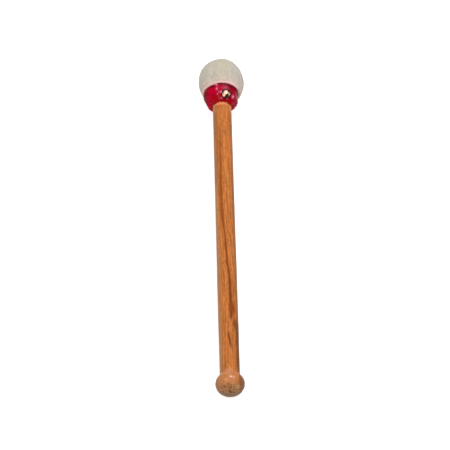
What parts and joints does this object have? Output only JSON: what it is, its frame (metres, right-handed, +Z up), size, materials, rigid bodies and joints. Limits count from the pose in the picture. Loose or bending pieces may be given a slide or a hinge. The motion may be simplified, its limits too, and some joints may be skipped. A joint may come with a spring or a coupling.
{
  "type": "samba drum mallet",
  "caption": "Drum mallet with a turned wooden handle, ball knob and padded felt head, tied under a lapped leatherette collar that a domed nail holds.",
  "frame": {"origin": "on the floor under the middle of the mallet as it lies at rest on its head and its knob", "axes": "+Y along the mallet towards its felt head, +Z up, +X to the right seen from the knob; the nail faces up and a little towards +X"},
  "size_m": [0.0443, 0.3668, 0.0442],
  "materials": {
    "handle": "clear-varnished hardwood",
    "head_core": "bare turned wood",
    "core_screw": "zinc-plated",
    "core_washer": "zinc-plated",
    "padding": "soft wadding",
    "felt_cover": "off-white wool felt",
    "binding_twine": "natural twine",
    "collar": "glossy red leatherette",
    "collar_nail": "polished, slightly dull"
  },
  "bodies": {
    "root": {"handle": "handle", "head_core": "head_core", "core_screw": "core_screw", "core_washer": "core_washer", "padding": "padding", "felt_cover": "felt_cover", "binding_twine": "binding_twine", "collar": "collar", "collar_nail": "collar_nail"}
  },
  "joints": []
}
